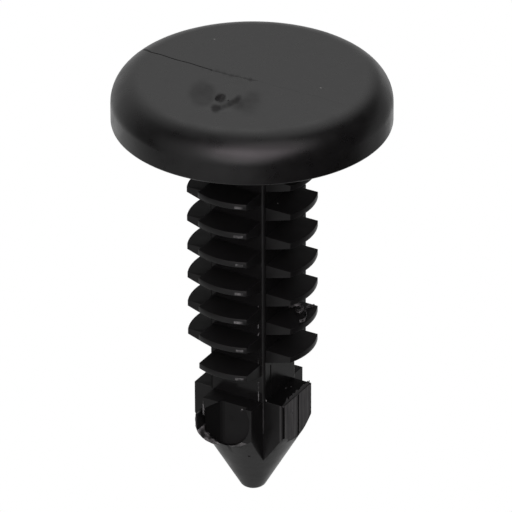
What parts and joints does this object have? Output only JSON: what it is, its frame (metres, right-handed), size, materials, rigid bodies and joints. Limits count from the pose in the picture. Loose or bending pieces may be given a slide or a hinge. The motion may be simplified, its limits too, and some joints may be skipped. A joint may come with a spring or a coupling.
{
  "type": "push rivet",
  "caption": "Moulded push rivet with a round head and a square post carrying staggered barbs up to a cross-shaped pointed tip.",
  "frame": {"origin": "centre of the head's flat outer face, which the rivet stands on", "axes": "+Z along the post from the head to the tip, +Y towards the arm with the ejector pad, +X along the parting plane"},
  "size_m": [0.02, 0.02, 0.0335],
  "materials": {
    "black_nylon": "black moulded nylon, satin"
  },
  "bodies": {
    "root": {"push_rivet": "black_nylon"}
  },
  "joints": []
}
